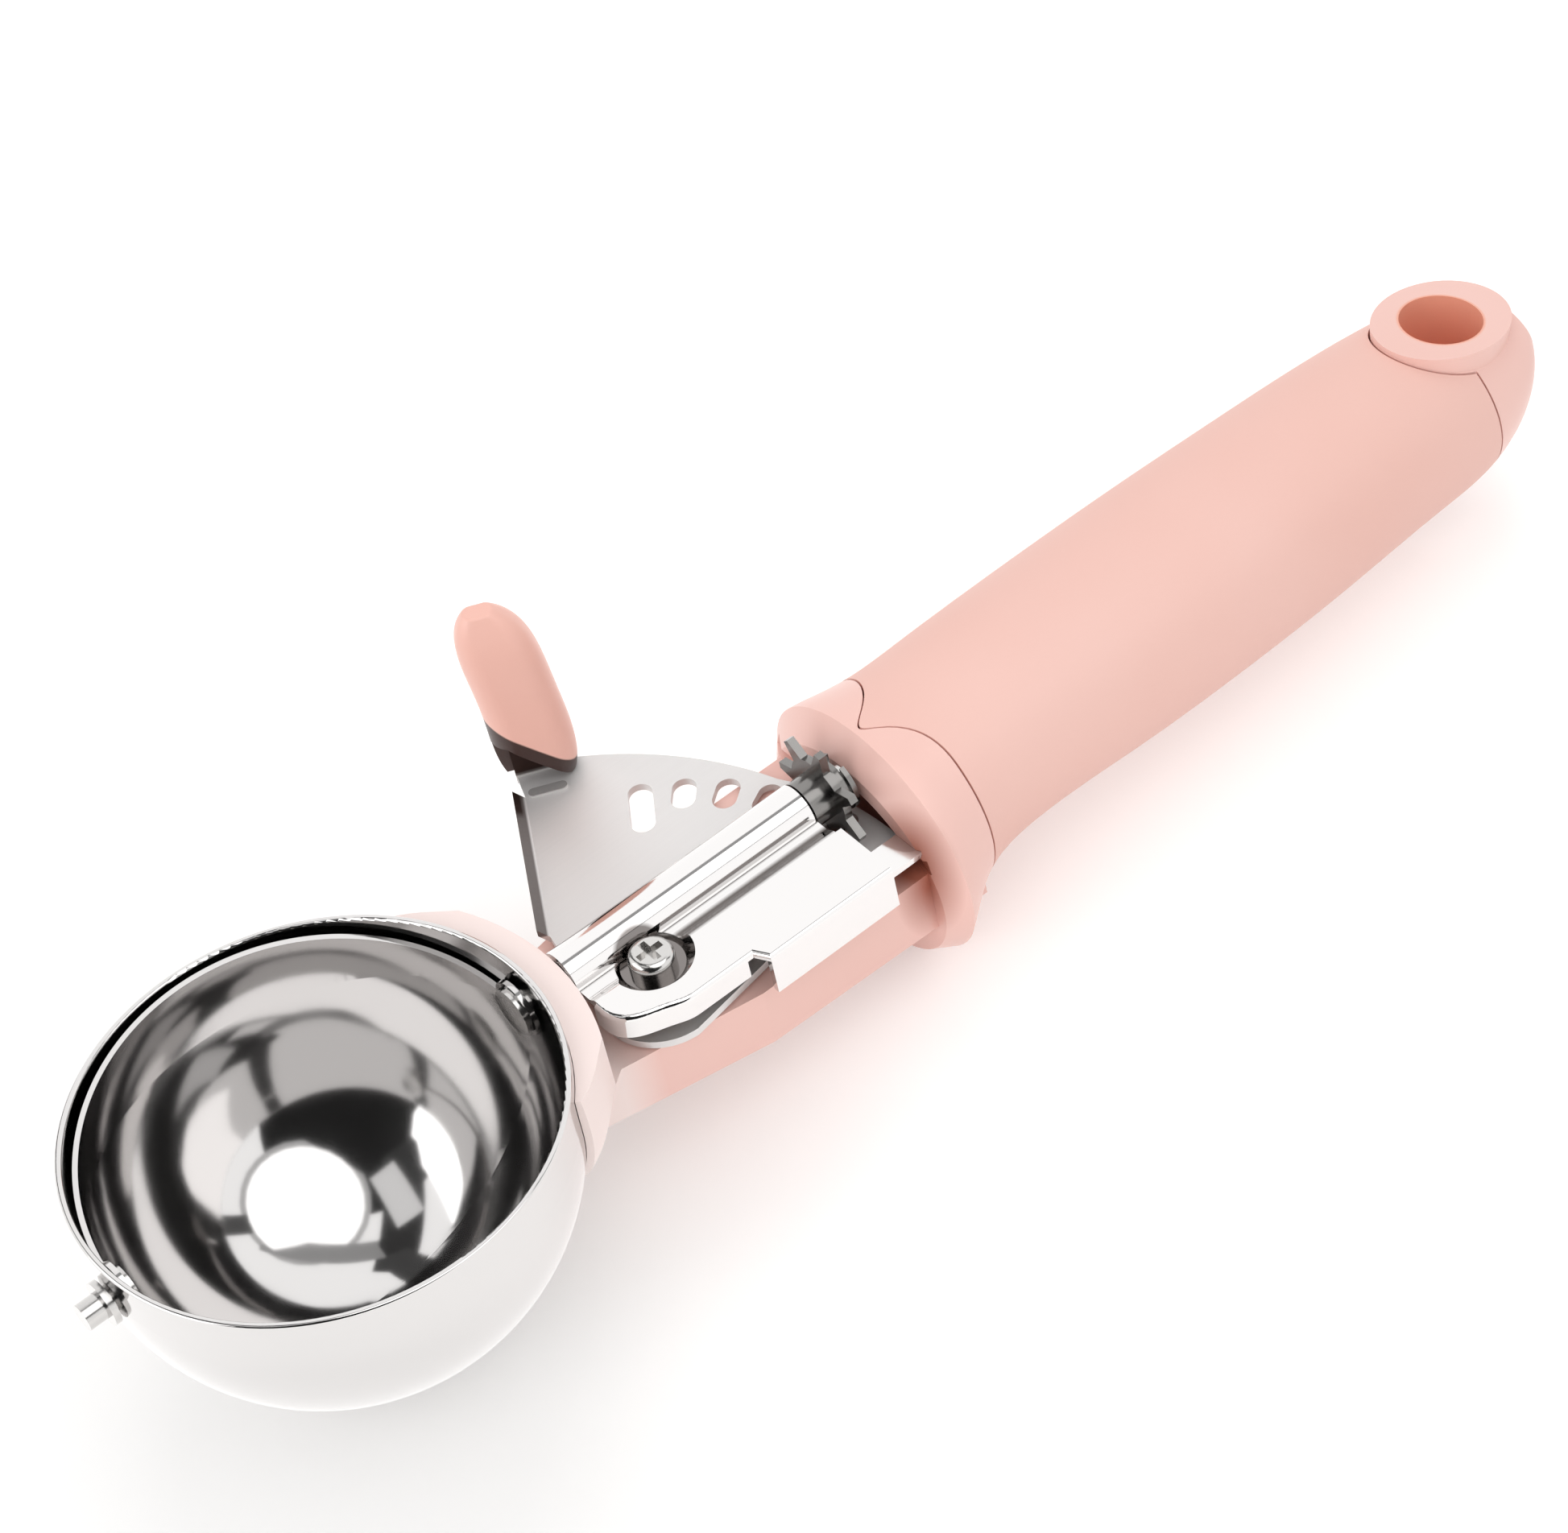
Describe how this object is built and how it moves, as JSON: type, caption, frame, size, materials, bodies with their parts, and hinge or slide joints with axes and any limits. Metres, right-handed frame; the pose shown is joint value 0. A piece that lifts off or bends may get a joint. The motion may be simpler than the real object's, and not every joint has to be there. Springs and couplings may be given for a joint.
{
  "type": "ice cream scoop",
  "caption": "Ice cream scoop with a round steel bowl, a wiper blade turned by a thumb lever through a toothed wheel, and a soft pink handle with a hanging hole.",
  "frame": {"origin": "centre of the bowl's hemisphere, which lies on the sweep shaft's axis", "axes": "+X along the sweep shaft from the bowl towards the handle, +Z out of the bowl's mouth, +Y towards the thumb lever"},
  "size_m": [0.2064, 0.0638, 0.0495],
  "materials": {
    "polished_steel": "mirror-polished stainless steel",
    "satin_steel": "satin stainless steel",
    "fastener_steel": "bright plated steel",
    "spring_steel": "drawn spring wire",
    "brass": "turned brass",
    "bush_plastic": "white acetal",
    "grip_pink": "soft-touch pink skin",
    "pad_pink": "smooth pink moulding",
    "core_pink": "pale pink moulding"
  },
  "bodies": {
    "handle": {"bowl": "polished_steel", "bowl_strap": "satin_steel", "strap_screws": "fastener_steel", "handle_core": "core_pink", "grip_sleeve": "grip_pink", "frame": "polished_steel", "tang_screws": "fastener_steel", "pivot_screw": "fastener_steel", "pivot_bush": "brass", "pivot_insert": "brass", "pivot_washer": "bush_plastic", "return_spring": "spring_steel", "front_shaft_bush": "bush_plastic", "rear_shaft_bush": "bush_plastic"},
    "lever": {"lever_sector": "satin_steel", "thumb_pad": "pad_pink"},
    "sweeper": {"sweeper_blade": "polished_steel", "front_pivot_pin": "fastener_steel", "front_pin_clip": "fastener_steel", "sweep_shaft": "fastener_steel", "star_wheel": "fastener_steel", "wheel_clip": "fastener_steel"}
  },
  "joints": [
    {"name": "lever_pivot", "type": "hinge", "parent": "handle", "child": "lever", "pos_m": [0.0406, -0.0059, -0.0055], "axis": [0, 0, 1], "range_deg": [-31, 0], "stiffness_Nm_per_rad": 0.2, "springref_deg": 28.65},
    {"name": "sweeper_spin", "type": "hinge", "parent": "handle", "child": "sweeper", "pos_m": [0, 0, 0], "axis": [1, 0, 0], "range_deg": [-166.2, 0]}
  ],
  "couplings": [
    {"joint": "sweeper_spin", "follows": "lever_pivot", "ratio": 5.3571}
  ]
}
